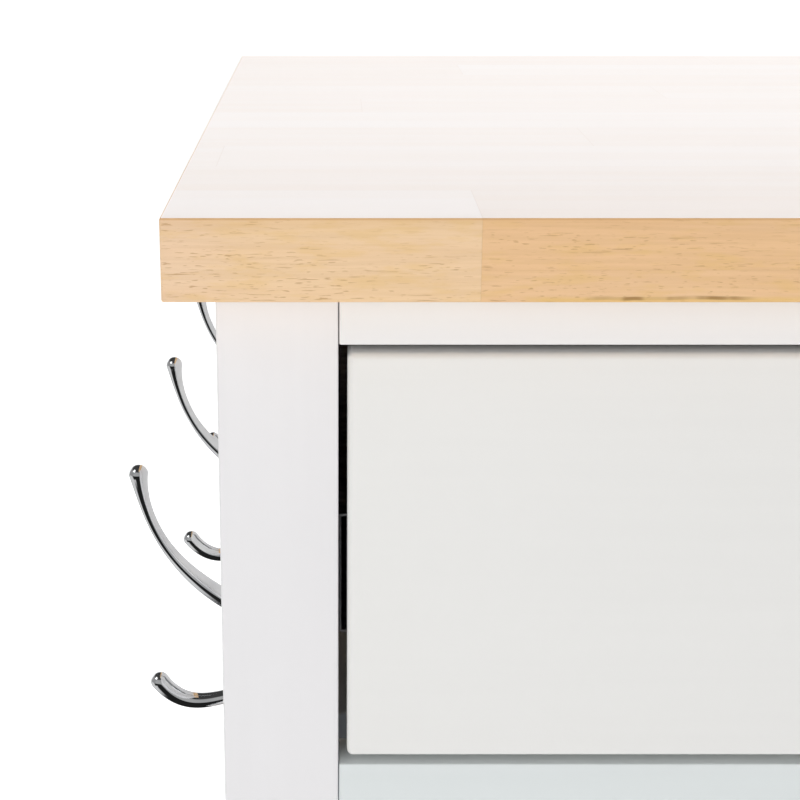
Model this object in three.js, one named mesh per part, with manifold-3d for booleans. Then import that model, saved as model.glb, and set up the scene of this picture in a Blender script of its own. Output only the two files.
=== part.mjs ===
// Kitchen island cart: a solid wood worktop on a white four-post frame, with one
// drawer on ball-bearing slides, two open shelves, three coat hooks on the left
// side panel and four swivel casters.
//
// Millimetres, +X to the right, +Y to the back, +Z up. The cart is laid out
// around the middle of its worktop, with the floor at Z = 0. The last lines move
// it so that the origin is under the middle of its whole outline, hooks and
// drawer pull included.

import * as THREE from "three";
import { mergeVertices } from "three/addons/utils/BufferGeometryUtils.js";
import Module from "manifold-3d";

const wasm = await Module();
wasm.setup();

// ---------------------------------------------------------------- dimensions

// Worktop
const WIDTH = 800;
const DEPTH = 510;
const HEIGHT = 900;
const TOP_THICKNESS = 27;
const TOP_OVERHANG = 16; // past the posts, on all four sides

// Posts, rails and panels around the drawer
const POST = 40;
const RAIL_THICKNESS = 20;
const TOP_RAIL_HEIGHT = 18;
const LOWER_RAIL_HEIGHT = 40;
const PANEL_THICKNESS = 12;
const PANEL_RECESS = 10; // the panels sit this far inside the posts' faces
const RUNNER_FOOT = 45; // how far a runner stands in past the posts, below the slides

// Drawer
const DRAWER_GAP = 3; // round the drawer front
const DRAWER_FRONT_HEIGHT = 146;
const DRAWER_FRONT_THICKNESS = 18;
const BOX_WALL = 12;
const BOX_DROP = 19; // from the drawer front's upper edge to the box's
const BOX_RISE = 17; // from the drawer front's lower edge to the box's
const BOX_REAR_SPACE = 28; // from the box to the back panel
const BOTTOM_THICKNESS = 5;
const BOTTOM_RISE = 10; // from the box's lower edge to its bottom board

// Three-part drawer slides
const SLIDE_THICKNESS = 12.7;
const SLIDE_HEIGHT = 45;
const SLIDE_RISE = 20; // from the box's lower edge to the slides'
const SLIDE_WALL = 1.2;
const SLIDE_BALL_GAP = 1.6;
const SLIDE_END_MARGIN = 5; // the slides are this much shorter at each end

// Drawer pull
const PULL_CENTRES = 128;
const PULL_PROJECTION = 26; // from the drawer front to the bar's centre line
const PULL_RADIUS = 5;
const PULL_BEND = 18;
const PULL_FOOT_RADIUS = 8.5;
const PULL_FOOT_THICKNESS = 3;

// Coat hooks, on the left side panel
const HOOK_COUNT = 3;
const HOOK_END_MARGIN = 41; // from the inner face of a post to the nearest hook's middle
const HOOK_PLATE_WIDTH = 18;
const HOOK_PLATE_HEIGHT = 68;
const HOOK_PLATE_THICKNESS = 3;
const HOOK_ABOVE_PANEL_EDGE = 15; // from the panel's lower edge to the plate
const HOOK_SCREW_FROM_END = 7;
const HOOK_SCREW_HOLE_RADIUS = 2.2;

// Each prong's centre line in the hook's own plane: x stands out from the panel
// and y goes up from the plate's middle. Four Bezier points, then the radii at
// the root, the waist and the tip. The waist is that share of the length from the
// root, and the higher the swell, the shorter the tip's drop.
const LONG_PRONG = {
  line: [[2, 13], [23.4, 23.6], [43.2, 40.1], [46.2, 71]],
  root: 3.7,
  waist: 2.1,
  tip: 3.75,
  waistAt: 0.7,
  swell: 3,
};
const SHORT_PRONG = {
  line: [[2, -18.2], [19.8, -23.3], [30.3, -28.4], [40.3, -15.2]],
  root: 3.1,
  waist: 2.2,
  tip: 3.1,
  waistAt: 0.28,
  swell: 1.2,
};

// Shelves
const SHELF_RAIL_HEIGHT = 40;
const SHELF_RAIL_THICKNESS = 18;
const SHELF_RAIL_INSET = 6; // behind the posts' faces
const SHELF_THICKNESS = 12;
const SHELF_NOTCH_CLEARANCE = 0.5; // round the posts
const BOTTOM_SHELF_RISE = 20; // from the posts' lower ends to the lowest rails
const SHELF_SPACING = 250; // from the bottom shelf's surface to the middle one's

// Casters
const WHEEL_RADIUS = 25;
const WHEEL_WIDTH = 20;
const TYRE_THICKNESS = 6;
const TYRE_ROUNDING = 4;
const CASTER_TRAIL = 18; // from the swivel axis to the wheel's axle
const CROWN_THICKNESS = 2.5;
const CUP_RADIUS = 14;
const CUP_HEIGHT = 10;
const COLLAR_RADIUS = 9;
const COLLAR_HEIGHT = 7;
const STEM_RADIUS = 5;
const STEM_LENGTH = 38; // inside the post
const STEM_HEAD_RADIUS = 7.5;
const STEM_HEAD_HEIGHT = 2.5;
const AXLE_RADIUS = 3;
const AXLE_HEAD_RADIUS = 5;
const AXLE_HEAD_HEIGHT = 2;
const HUB_WALL = 4; // round the axle and inside the rim
const HUB_WEB_DEPTH = 5; // from the rim's side to the web
const FORK_WALL = 2.5;
const FORK_BOSS_RADIUS = 8;
const FORK_LEG_SPREAD = 9; // from the swivel axis forwards, where a leg meets the crown
const FORK_LEG_FLARE = 4; // behind the boss, where a leg meets the crown
const WHEEL_TO_CROWN = 5;
const WHEEL_TO_FORK = 2;
const TURNING_GAP = 0.4; // between surfaces that turn on each other
const SEATED_GAP = 0.3; // between round surfaces that are fixed together

// Brake levers, on the two front casters
const BRAKE_ANGLE = 31 * Math.PI / 180; // from straight above the axle
const BRAKE_PIN_RADIUS = 2;
const BRAKE_BARREL_RADIUS = 3;
const BRAKE_EAR_RADIUS = 5;
const BRAKE_TO_WHEEL = 4.2; // from the wheel's rim to the lever's pivot
const BRAKE_CAM_RADIUS = 1.2;
const BRAKE_CAM_SWING = 20 * Math.PI / 180; // the lever's travel
const BRAKE_CAM_GAP = 0.4; // from the cam to the tyre when pressed
const BRAKE_PAD_LENGTH = 24;
const BRAKE_PAD_THICKNESS = 2.5;

// ------------------------------------------------------------ derived levels

const topUnderside = HEIGHT - TOP_THICKNESS;
const frameX = WIDTH / 2 - TOP_OVERHANG; // the posts' outer faces
const frameY = DEPTH / 2 - TOP_OVERHANG;
const insideX = frameX - POST; // the posts' inner faces
const insideY = frameY - POST;
const postX = frameX - POST / 2; // the posts' centre lines
const postY = frameY - POST / 2;

const drawerFrontTop = topUnderside - TOP_RAIL_HEIGHT - DRAWER_GAP;
const drawerFrontBottom = drawerFrontTop - DRAWER_FRONT_HEIGHT;
const lowerRailTop = drawerFrontBottom - DRAWER_GAP;
const apronBottom = lowerRailTop - LOWER_RAIL_HEIGHT; // lower edge of rail and panels
const panelOuterX = frameX - PANEL_RECESS;
const panelOuterY = frameY - PANEL_RECESS;

const boxBottom = drawerFrontBottom + BOX_RISE;
const boxTop = drawerFrontTop - BOX_DROP;
const boxHalfX = insideX - SLIDE_THICKNESS;
const boxFront = -frameY + DRAWER_FRONT_THICKNESS;
const boxBack = panelOuterY - PANEL_THICKNESS - BOX_REAR_SPACE;
const slideZ = boxBottom + SLIDE_RISE + SLIDE_HEIGHT / 2;

const wheelTop = 2 * WHEEL_RADIUS;
const crownBottom = wheelTop + WHEEL_TO_CROWN;
const crownTop = crownBottom + CROWN_THICKNESS;
const cupTop = crownTop + CUP_HEIGHT;
const collarBottom = cupTop + TURNING_GAP;
const postBottom = collarBottom + COLLAR_HEIGHT;

// ----------------------------------------------------------------- materials

function finish(color, roughness, metalness = 0) {
  return new THREE.MeshStandardMaterial({ color, roughness, metalness });
}

const oiledWood = finish(0xe6c79c, 0.5);
const whitePaint = finish(0xe8e7e5, 0.45);
const plainWood = finish(0xdcc29a, 0.65);
const chrome = finish(0xd8dadd, 0.08, 1);
const zinc = finish(0xa9adb2, 0.35, 1);
const rubber = finish(0x2a2a2c, 0.8);
const greyPlastic = finish(0x8d9094, 0.5);
const blackPlastic = finish(0x1d1d1f, 0.55);

// ------------------------------------------------------------ solids and cuts

// A closed geometry as a solid that can be joined and cut.
function solid(geometry) {
  const bare = geometry.clone();
  bare.deleteAttribute("normal");
  bare.deleteAttribute("uv");
  const merged = mergeVertices(bare);
  const corners = merged.index.array;
  const triangles = [];
  for (let i = 0; i < corners.length; i += 3) {
    const [a, b, c] = corners.slice(i, i + 3);
    if (a !== b && b !== c && c !== a) triangles.push(a, b, c);
  }
  return new wasm.Manifold(new wasm.Mesh({
    numProp: 3,
    vertProperties: new Float32Array(merged.attributes.position.array),
    triVerts: new Uint32Array(triangles),
  }));
}

// The solid as a geometry again.
function skin(manifold) {
  const mesh = manifold.getMesh();
  const geometry = new THREE.BufferGeometry();
  geometry.setAttribute("position", new THREE.BufferAttribute(mesh.vertProperties, 3));
  geometry.setIndex(new THREE.BufferAttribute(mesh.triVerts, 1));
  geometry.computeVertexNormals();
  return geometry;
}

function join(...geometries) {
  return skin(geometries.map(solid).reduce((whole, piece) => whole.add(piece)));
}

function cut(geometry, ...holes) {
  return skin(holes.map(solid).reduce((whole, hole) => whole.subtract(hole), solid(geometry)));
}

// A box that fills three spans, each [low, high].
function block([x0, x1], [y0, y1], [z0, z1]) {
  const box = new THREE.BoxGeometry(x1 - x0, y1 - y0, z1 - z0);
  return box.translate((x0 + x1) / 2, (y0 + y1) / 2, (z0 + z1) / 2);
}

// The span [low, high] on one side of the middle, mirrored to the other side
// when side is -1.
function mirrored(side, low, high) {
  return side > 0 ? [low, high] : [-high, -low];
}

// A round bar along X or Z, from one end to the other.
function barX(radius, [x0, x1], segments = 16) {
  const bar = new THREE.CylinderGeometry(radius, radius, x1 - x0, segments);
  return bar.rotateZ(Math.PI / 2).translate((x0 + x1) / 2, 0, 0);
}

function barZ(radius, [z0, z1], segments = 16) {
  const bar = new THREE.CylinderGeometry(radius, radius, z1 - z0, segments);
  return bar.rotateX(Math.PI / 2).translate(0, 0, (z0 + z1) / 2);
}

// A flat shape drawn in the Y-Z plane, as thick as its span along X.
function plateYZ(shape, [x0, x1], curveSegments = 6) {
  const plate = new THREE.ExtrudeGeometry(shape, {
    depth: x1 - x0,
    bevelEnabled: false,
    curveSegments,
  });
  const acrossX = new THREE.Matrix4().makeBasis(
    new THREE.Vector3(0, 1, 0),
    new THREE.Vector3(0, 0, 1),
    new THREE.Vector3(1, 0, 0),
  );
  return plate.applyMatrix4(acrossX).translate(x0, 0, 0);
}

function polygon(points) {
  return new THREE.Shape(points.map(([x, y]) => new THREE.Vector2(x, y)));
}

const cart = new THREE.Group();

function addPiece(name, geometry, material, parent = cart) {
  const piece = new THREE.Mesh(geometry, material);
  piece.name = name;
  parent.add(piece);
  return piece;
}

const SIDES = [["left", -1], ["right", 1]];
const ENDS = [["front", -1], ["back", 1]];

// ---------------------------------------------------------- worktop and frame

addPiece(
  "worktop",
  block([-WIDTH / 2, WIDTH / 2], [-DEPTH / 2, DEPTH / 2], [topUnderside, HEIGHT]),
  oiledWood,
);

// Each post has a socket for a caster's stem, drilled up into its lower end.
function addPost(end, endSide, side, sideSide) {
  const post = block(
    [-POST / 2, POST / 2],
    [-POST / 2, POST / 2],
    [postBottom, topUnderside],
  );
  const socketTop = postBottom + STEM_LENGTH + SEATED_GAP;
  const socket = barZ(STEM_RADIUS + SEATED_GAP, [postBottom - 1, socketTop]);
  const piece = addPiece(`post_${end}_${side}`, cut(post, socket), whitePaint);
  piece.position.set(sideSide * postX, endSide * postY, 0);
}

for (const [end, endSide] of ENDS) {
  for (const [side, sideSide] of SIDES) {
    addPost(end, endSide, side, sideSide);
  }
}

const betweenPostsX = [-insideX, insideX];
const betweenPostsY = [-insideY, insideY];
const frontRailY = [-frameY, -frameY + RAIL_THICKNESS];
addPiece(
  "top_rail",
  block(betweenPostsX, frontRailY, [topUnderside - TOP_RAIL_HEIGHT, topUnderside]),
  whitePaint,
);
addPiece(
  "lower_rail",
  block(betweenPostsX, frontRailY, [apronBottom, lowerRailTop]),
  whitePaint,
);

// A side panel closes each end between its posts. A wooden runner, rebated to an L,
// lies against it. Its upright fills the step from the panel to the posts' inner
// faces, so that the slide has a flat face to screw to. Its foot is as high as the
// lower rail and stands in under the drawer.
for (const [side, sideSide] of SIDES) {
  const panelInner = panelOuterX - PANEL_THICKNESS;
  addPiece(
    `side_panel_${side}`,
    block(mirrored(sideSide, panelInner, panelOuterX), betweenPostsY, [apronBottom, topUnderside]),
    whitePaint,
  );
  const runnerTop = slideZ + SLIDE_HEIGHT / 2;
  const outline = [
    [panelInner, apronBottom],
    [panelInner, runnerTop],
    [insideX, runnerTop],
    [insideX, lowerRailTop],
    [insideX - RUNNER_FOOT, lowerRailTop],
    [insideX - RUNNER_FOOT, apronBottom],
  ].map(([across, up]) => [sideSide * across, up]);
  const runner = new THREE.ExtrudeGeometry(polygon(outline), {
    depth: 2 * insideY,
    bevelEnabled: false,
  });
  runner.rotateX(Math.PI / 2).translate(0, insideY, 0);
  addPiece(`runner_${side}`, runner, whitePaint);
}

addPiece(
  "back_panel",
  block(betweenPostsX, [panelOuterY - PANEL_THICKNESS, panelOuterY], [apronBottom, topUnderside]),
  whitePaint,
);

// -------------------------------------------------------------------- drawer

addPiece(
  "drawer_front",
  block(
    [-insideX + DRAWER_GAP, insideX - DRAWER_GAP],
    [-frameY, boxFront],
    [drawerFrontBottom, drawerFrontTop],
  ),
  whitePaint,
);

const boxInsideX = [-boxHalfX + BOX_WALL, boxHalfX - BOX_WALL];
const boxInsideY = [boxFront + BOX_WALL, boxBack - BOX_WALL];
const boxZ = [boxBottom, boxTop];
addPiece("drawer_box_front", block(boxInsideX, [boxFront, boxInsideY[0]], boxZ), plainWood);
addPiece("drawer_box_back", block(boxInsideX, [boxInsideY[1], boxBack], boxZ), plainWood);
for (const [side, sideSide] of SIDES) {
  const wall = mirrored(sideSide, boxHalfX - BOX_WALL, boxHalfX);
  addPiece(`drawer_side_${side}`, block(wall, [boxFront, boxBack], boxZ), plainWood);
}
const bottomZ = [boxBottom + BOTTOM_RISE, boxBottom + BOTTOM_RISE + BOTTOM_THICKNESS];
addPiece("drawer_bottom", block(boxInsideX, boxInsideY, bottomZ), plainWood);

// One member of a slide is a C-shaped channel that runs front to back. near and
// far are its span across the gap, measured from the post's inner face, and its
// web is on the near or the far side.
function addSlideMember(name, side, [near, far], halfHeight, webIsNear) {
  const webInner = webIsNear ? near + SLIDE_WALL : far - SLIDE_WALL;
  const webOuter = webIsNear ? near : far;
  const tip = webIsNear ? far : near;
  const lip = halfHeight - SLIDE_WALL;
  const outline = [
    [webOuter, -halfHeight],
    [tip, -halfHeight],
    [tip, -lip],
    [webInner, -lip],
    [webInner, lip],
    [tip, lip],
    [tip, halfHeight],
    [webOuter, halfHeight],
  ].map(([across, up]) => [side * (insideX - across), up]);
  const slideFront = boxFront + SLIDE_END_MARGIN;
  const slideLength = boxBack - SLIDE_END_MARGIN - slideFront;
  const channel = new THREE.ExtrudeGeometry(polygon(outline), {
    depth: slideLength,
    bevelEnabled: false,
  });
  channel.rotateX(Math.PI / 2).translate(0, slideFront + slideLength, slideZ);
  addPiece(name, channel, zinc);
}

const slideStep = SLIDE_WALL + SLIDE_BALL_GAP;
for (const [side, sideSide] of SIDES) {
  const outerHalf = SLIDE_HEIGHT / 2;
  const middleHalf = outerHalf - slideStep;
  const innerHalf = middleHalf - slideStep;
  const outerSpan = [0, SLIDE_THICKNESS - slideStep];
  const middleSpan = [slideStep, SLIDE_THICKNESS - 2 * SLIDE_WALL];
  const innerSpan = [2 * slideStep, SLIDE_THICKNESS];
  addSlideMember(`slide_outer_${side}`, sideSide, outerSpan, outerHalf, true);
  addSlideMember(`slide_middle_${side}`, sideSide, middleSpan, middleHalf, true);
  addSlideMember(`slide_inner_${side}`, sideSide, innerSpan, innerHalf, false);
}

// The pull is one bent round bar on two round feet. It is drawn around the
// middle of the drawer front's face, with -Y pointing out of the face.
function pullGeometry() {
  const half = PULL_CENTRES / 2;
  const path = new THREE.CurvePath();
  const out = -PULL_PROJECTION;
  const bendStart = out + PULL_BEND;
  const corner = (x, towards) => new THREE.Vector3(x, towards, 0);
  path.add(new THREE.LineCurve3(corner(-half, -PULL_FOOT_THICKNESS / 2), corner(-half, bendStart)));
  path.add(new THREE.QuadraticBezierCurve3(
    corner(-half, bendStart), corner(-half, out), corner(-half + PULL_BEND, out)));
  path.add(new THREE.LineCurve3(corner(-half + PULL_BEND, out), corner(half - PULL_BEND, out)));
  path.add(new THREE.QuadraticBezierCurve3(
    corner(half - PULL_BEND, out), corner(half, out), corner(half, bendStart)));
  path.add(new THREE.LineCurve3(corner(half, bendStart), corner(half, -PULL_FOOT_THICKNESS / 2)));
  const section = new THREE.Shape().absarc(0, 0, PULL_RADIUS, 0, 2 * Math.PI);
  const bar = new THREE.ExtrudeGeometry(section, {
    steps: 36,
    curveSegments: 5,
    extrudePath: path,
  });
  const feet = [-half, half].map((x) => {
    const foot = new THREE.CylinderGeometry(
      PULL_FOOT_RADIUS, PULL_FOOT_RADIUS, PULL_FOOT_THICKNESS, 16);
    return foot.translate(x, -PULL_FOOT_THICKNESS / 2, 0);
  });
  return join(bar, ...feet);
}

const pull = addPiece("drawer_pull", pullGeometry(), chrome);
pull.position.set(0, -frameY, (drawerFrontBottom + drawerFrontTop) / 2);

// --------------------------------------------------------------------- hooks

// A prong is a round spindle, bent along its centre line: a flared root, a
// slim waist and a rounded, swollen tip.
function prongGeometry({ line, root, waist, tip, waistAt, swell }) {
  const [start, first, second, end] = line.map(([out, up]) => new THREE.Vector3(-out, 0, up));
  const curve = new THREE.CubicBezierCurve3(start, first, second, end);
  const length = curve.getLength();
  const radiusAt = (share) => {
    const rootFlare = 1 - THREE.MathUtils.smoothstep(share, 0.2 * waistAt, waistAt);
    const tipSwell = (Math.max(0, share - waistAt) / (1 - waistAt)) ** swell;
    return waist + (root - waist) * rootFlare + (tip - waist) * tipSwell;
  };
  const rings = 14;
  const profile = [new THREE.Vector2(0, 0)];
  for (let i = 0; i <= rings; i += 1) {
    const share = i / rings;
    profile.push(new THREE.Vector2(radiusAt(share), share * length));
  }
  const capRings = 2;
  for (let i = 1; i <= capRings; i += 1) {
    const angle = (i / (capRings + 1)) * Math.PI / 2;
    profile.push(new THREE.Vector2(tip * Math.cos(angle), length + tip * Math.sin(angle)));
  }
  profile.push(new THREE.Vector2(0, length + tip));

  const spindle = new THREE.LatheGeometry(profile, 10);
  const place = spindle.attributes.position;
  const across = new THREE.Vector3(0, 1, 0);
  for (let i = 0; i < place.count; i += 1) {
    const along = place.getY(i);
    const share = Math.min(along / length, 1);
    const tangent = curve.getTangentAt(share);
    const normal = new THREE.Vector3().crossVectors(tangent, across);
    const point = curve.getPointAt(share)
      .addScaledVector(tangent, Math.max(along - length, 0))
      .addScaledVector(across, place.getX(i))
      .addScaledVector(normal, -place.getZ(i));
    place.setXYZ(i, point.x, point.y, point.z);
  }
  return spindle;
}

// The hook's back plate has round ends and a screw hole near each of them.
function hookPlateGeometry() {
  const radius = HOOK_PLATE_WIDTH / 2;
  const straight = HOOK_PLATE_HEIGHT / 2 - radius;
  const outline = new THREE.Shape();
  outline.absarc(0, straight, radius, 0, Math.PI);
  outline.absarc(0, -straight, radius, Math.PI, 2 * Math.PI);
  const screwUp = HOOK_PLATE_HEIGHT / 2 - HOOK_SCREW_FROM_END;
  for (const up of [-screwUp, screwUp]) {
    const hole = new THREE.Path().absarc(0, up, HOOK_SCREW_HOLE_RADIUS, 0, 2 * Math.PI);
    outline.holes.push(hole);
  }
  return plateYZ(outline, [-HOOK_PLATE_THICKNESS, 0]);
}

const hookGeometry = join(
  hookPlateGeometry(),
  prongGeometry(LONG_PRONG),
  prongGeometry(SHORT_PRONG),
);
const HOOK_NAMES = ["front", "middle", "back"];
const hookSpacing = (2 * (insideY - HOOK_END_MARGIN)) / (HOOK_COUNT - 1);
for (let i = 0; i < HOOK_COUNT; i += 1) {
  const hook = addPiece(`coat_hook_${HOOK_NAMES[i]}`, hookGeometry, chrome);
  const y = (i - (HOOK_COUNT - 1) / 2) * hookSpacing;
  const z = apronBottom + HOOK_ABOVE_PANEL_EDGE + HOOK_PLATE_HEIGHT / 2;
  hook.position.set(-panelOuterX, y, z);
}

// ------------------------------------------------------------------- shelves

// A shelf is a board on four rails. Its corners are notched round the posts.
function addShelf(name, surfaceZ) {
  const outerX = frameX - SHELF_RAIL_INSET;
  const outerY = frameY - SHELF_RAIL_INSET;
  const boardBottom = surfaceZ - SHELF_THICKNESS;
  const railZ = [boardBottom - SHELF_RAIL_HEIGHT, boardBottom];
  for (const [end, endSide] of ENDS) {
    const railY = mirrored(endSide, outerY - SHELF_RAIL_THICKNESS, outerY);
    addPiece(`${name}_rail_${end}`, block(betweenPostsX, railY, railZ), whitePaint);
  }
  for (const [side, sideSide] of SIDES) {
    const railX = mirrored(sideSide, outerX - SHELF_RAIL_THICKNESS, outerX);
    addPiece(`${name}_rail_${side}`, block(railX, betweenPostsY, railZ), whitePaint);
  }
  const notches = [];
  for (const [, endSide] of ENDS) {
    for (const [, sideSide] of SIDES) {
      notches.push(block(
        mirrored(sideSide, insideX - SHELF_NOTCH_CLEARANCE, frameX),
        mirrored(endSide, insideY - SHELF_NOTCH_CLEARANCE, frameY),
        [boardBottom - 1, surfaceZ + 1],
      ));
    }
  }
  const board = block([-outerX, outerX], [-outerY, outerY], [boardBottom, surfaceZ]);
  addPiece(`${name}_board`, cut(board, ...notches), whitePaint);
}

const bottomShelfZ = postBottom + BOTTOM_SHELF_RISE + SHELF_RAIL_HEIGHT + SHELF_THICKNESS;
addShelf("bottom_shelf", bottomShelfZ);
addShelf("middle_shelf", bottomShelfZ + SHELF_SPACING);

// ------------------------------------------------------------------- casters

// A caster is drawn with its swivel axis on Z, the floor at Z = 0 and its wheel
// trailing towards +Y.
const forkInner = WHEEL_WIDTH / 2 + WHEEL_TO_FORK;
const forkOuter = forkInner + FORK_WALL;
const stemBore = STEM_RADIUS + TURNING_GAP;
const brakeReach = WHEEL_RADIUS + BRAKE_TO_WHEEL; // from the axle to the lever's pivot
const brakeY = CASTER_TRAIL + brakeReach * Math.sin(BRAKE_ANGLE);
const brakeZ = WHEEL_RADIUS + brakeReach * Math.cos(BRAKE_ANGLE);

// The stem is screwed up into the post. Its collar bears on the post, and its
// head, under the fork's crown, carries the fork.
function stemGeometry() {
  const headTop = crownBottom - TURNING_GAP;
  return join(
    barZ(STEM_RADIUS, [headTop - STEM_HEAD_HEIGHT / 2, postBottom + STEM_LENGTH]),
    barZ(COLLAR_RADIUS, [collarBottom, postBottom], 6),
    barZ(STEM_HEAD_RADIUS, [headTop - STEM_HEAD_HEIGHT, headTop]),
  );
}

function forkLegShape(hasBrake) {
  const legFront = -FORK_LEG_SPREAD;
  const legBack = CASTER_TRAIL + FORK_BOSS_RADIUS + FORK_LEG_FLARE;
  const shape = new THREE.Shape();
  shape.moveTo(legFront, crownTop);
  shape.lineTo(CASTER_TRAIL - FORK_BOSS_RADIUS, WHEEL_RADIUS);
  shape.absarc(CASTER_TRAIL, WHEEL_RADIUS, FORK_BOSS_RADIUS, Math.PI, 2 * Math.PI);
  if (hasBrake) {
    shape.absarc(brakeY, brakeZ, BRAKE_EAR_RADIUS, 0, Math.PI / 2);
    shape.lineTo(brakeY, crownTop);
  } else {
    shape.lineTo(legBack, crownTop);
  }
  return shape;
}

function forkGeometry(hasBrake) {
  const crownBack = CASTER_TRAIL + FORK_BOSS_RADIUS;
  const crownShape = new THREE.Shape();
  crownShape.absarc(0, 0, forkOuter, Math.PI, 2 * Math.PI);
  crownShape.lineTo(forkOuter, crownBack);
  crownShape.lineTo(-forkOuter, crownBack);
  const crown = new THREE.ExtrudeGeometry(crownShape, {
    depth: CROWN_THICKNESS,
    bevelEnabled: false,
    curveSegments: 10,
  }).translate(0, 0, crownBottom);
  const legs = SIDES.map(([, side]) => (
    plateYZ(forkLegShape(hasBrake), mirrored(side, forkInner, forkOuter))
  ));
  const cup = barZ(CUP_RADIUS, [crownBottom + CROWN_THICKNESS / 2, cupTop], 20);
  const acrossFork = [-forkOuter - 1, forkOuter + 1];
  const axleHole = barX(AXLE_RADIUS + SEATED_GAP, acrossFork, 12)
    .translate(0, CASTER_TRAIL, WHEEL_RADIUS);
  const holes = [barZ(stemBore, [crownBottom - 1, cupTop + 1]), axleHole];
  if (hasBrake) {
    const pinHole = barX(BRAKE_PIN_RADIUS + TURNING_GAP, acrossFork, 12);
    holes.push(pinHole.translate(0, brakeY, brakeZ));
  }
  return cut(join(crown, ...legs, cup), ...holes);
}

function axleGeometry() {
  const headInner = forkOuter + SEATED_GAP;
  const headOuter = headInner + AXLE_HEAD_HEIGHT;
  return join(
    barX(AXLE_RADIUS, [-headInner - AXLE_HEAD_HEIGHT / 2, headInner + AXLE_HEAD_HEIGHT / 2], 12),
    ...SIDES.map(([, side]) => barX(AXLE_HEAD_RADIUS, mirrored(side, headInner, headOuter), 12)),
  );
}

// The tyre and the hub are rings about X.
const WHEEL_SEGMENTS = 24;

function ringX(profile) {
  const points = [...profile, profile[0]].map(([radius, across]) => (
    new THREE.Vector2(radius, across)
  ));
  return new THREE.LatheGeometry(points, WHEEL_SEGMENTS).rotateZ(Math.PI / 2);
}

function tyreGeometry() {
  const inner = WHEEL_RADIUS - TYRE_THICKNESS;
  const half = WHEEL_WIDTH / 2;
  const shoulder = WHEEL_RADIUS - TYRE_ROUNDING;
  const flat = half - TYRE_ROUNDING;
  const round = Math.SQRT1_2 * TYRE_ROUNDING;
  return ringX([
    [inner, -half],
    [shoulder, -half],
    [shoulder + round, -flat - round],
    [WHEEL_RADIUS, -flat],
    [WHEEL_RADIUS, flat],
    [shoulder + round, flat + round],
    [shoulder, half],
    [inner, half],
  ]);
}

function hubGeometry() {
  const outer = WHEEL_RADIUS - TYRE_THICKNESS - SEATED_GAP;
  const rim = outer - HUB_WALL;
  const boss = AXLE_RADIUS + HUB_WALL;
  const half = WHEEL_WIDTH / 2;
  const web = half - HUB_WEB_DEPTH;
  const bossHalf = forkInner - TURNING_GAP;
  const bore = AXLE_RADIUS + TURNING_GAP;
  return ringX([
    [bore, -bossHalf],
    [boss, -bossHalf],
    [boss, -web],
    [rim, -web],
    [rim, -half],
    [outer, -half],
    [outer, half],
    [rim, half],
    [rim, web],
    [boss, web],
    [boss, bossHalf],
    [bore, bossHalf],
  ]);
}

// The lever's barrel turns on stub pins in the fork's ears. Its cam faces the
// tyre once the pad has been pressed down.
function brakeLeverGeometry() {
  const barrelHalf = forkInner - TURNING_GAP;
  const padZ = [-BRAKE_PAD_THICKNESS / 2, BRAKE_PAD_THICKNESS / 2];
  const camReach = BRAKE_TO_WHEEL - BRAKE_CAM_GAP - BRAKE_CAM_RADIUS;
  const towardsAxle = new THREE.Vector2(-Math.sin(BRAKE_ANGLE), -Math.cos(BRAKE_ANGLE))
    .rotateAround(new THREE.Vector2(), BRAKE_CAM_SWING)
    .multiplyScalar(camReach);
  return join(
    barX(BRAKE_BARREL_RADIUS, [-barrelHalf, barrelHalf], 12),
    barX(BRAKE_PIN_RADIUS, [-forkOuter, forkOuter], 12),
    barX(BRAKE_CAM_RADIUS, [-WHEEL_WIDTH / 4, WHEEL_WIDTH / 4], 8)
      .translate(0, towardsAxle.x, towardsAxle.y),
    block([-barrelHalf, barrelHalf], [0, BRAKE_PAD_LENGTH], padZ),
  );
}

function addCaster(name, x, y, trailSide, hasBrake) {
  const caster = new THREE.Group();
  caster.position.set(x, y, 0);
  caster.rotation.z = trailSide > 0 ? 0 : Math.PI;
  cart.add(caster);
  addPiece(`${name}_stem`, stemGeometry(), zinc, caster);
  addPiece(`${name}_fork`, forkGeometry(hasBrake), zinc, caster);
  const wheel = new THREE.Group();
  wheel.position.set(0, CASTER_TRAIL, WHEEL_RADIUS);
  caster.add(wheel);
  addPiece(`${name}_axle`, axleGeometry(), zinc, wheel);
  addPiece(`${name}_tyre`, tyreGeometry(), rubber, wheel);
  addPiece(`${name}_hub`, hubGeometry(), greyPlastic, wheel);
  if (hasBrake) {
    const lever = addPiece(`${name}_brake`, brakeLeverGeometry(), blackPlastic, caster);
    lever.position.set(0, brakeY, brakeZ);
  }
}

for (const [end, endSide] of ENDS) {
  for (const [side, sideSide] of SIDES) {
    const hasBrake = end === "front";
    addCaster(`caster_${end}_${side}`, sideSide * postX, endSide * postY, -endSide, hasBrake);
  }
}

// ------------------------------------------------------------------- origin

const outline = new THREE.Box3().setFromObject(cart);
const middle = outline.getCenter(new THREE.Vector3());
cart.position.set(-middle.x, -middle.y, 0);

export default cart;
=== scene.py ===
import math

import bmesh
import bpy
from mathutils import Matrix, Vector


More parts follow.
